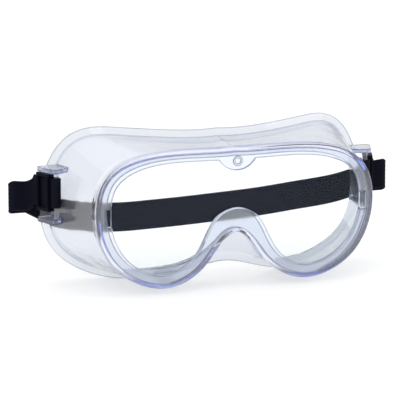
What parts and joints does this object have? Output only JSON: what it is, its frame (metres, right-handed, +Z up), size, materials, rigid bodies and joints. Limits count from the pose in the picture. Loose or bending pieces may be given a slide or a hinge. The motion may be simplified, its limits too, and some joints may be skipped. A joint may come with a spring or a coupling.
{
  "type": "safety goggles",
  "caption": "Clear splash goggles with a soft wrap-round frame, a snap-in lens, lug slides and an elastic head strap.",
  "frame": {"origin": "middle of the bounding box's footprint, on the plane that the frame's lower edge rests on", "axes": "+X to the wearer's left, +Y from the lens towards the wearer's face, +Z up"},
  "size_m": [0.2114, 0.058, 0.0809],
  "materials": {
    "clear_pvc": "soft clear PVC with a faint blue-grey tint, glossy",
    "clear_lens": "optically clear polycarbonate, polished",
    "webbing": "black woven elastic webbing",
    "black_plastic": "moulded black plastic, satin",
    "thread": "black sewing thread"
  },
  "bodies": {
    "goggles": {"frame_body": "clear_pvc", "lens": "clear_lens", "strap_loop_left": "webbing", "strap_loop_right": "webbing", "strap_tack_left": "thread", "strap_tack_right": "thread"},
    "slide_left": {"strap_slide_left": "black_plastic"},
    "slide_right": {"strap_slide_right": "black_plastic"},
    "strap_swing": {"strap_run_left": "webbing", "strap_run_right": "webbing"},
    "strap_back": {"strap_rear": "webbing"}
  },
  "joints": [
    {"name": "slide_left_travel", "type": "slide", "parent": "goggles", "child": "slide_left", "axis": [0.342, 0.9397, 0], "range_m": [0, 0.004]},
    {"name": "slide_right_travel", "type": "slide", "parent": "goggles", "child": "slide_right", "axis": [-0.342, 0.9397, 0], "range_m": [0, 0.004]},
    {"name": "strap_tilt", "type": "hinge", "parent": "goggles", "child": "strap_swing", "pos_m": [0, 0.0221, 0.0486], "axis": [1, 0, 0], "range_deg": [0, 60], "deforming": ["strap_run_left", "strap_run_right"]},
    {"name": "strap_pull", "type": "slide", "parent": "strap_swing", "child": "strap_back", "axis": [0, 1, 0], "range_m": [0, 0.05], "stiffness_N_per_m": 60, "deforming": ["strap_run_left", "strap_run_right"]}
  ]
}
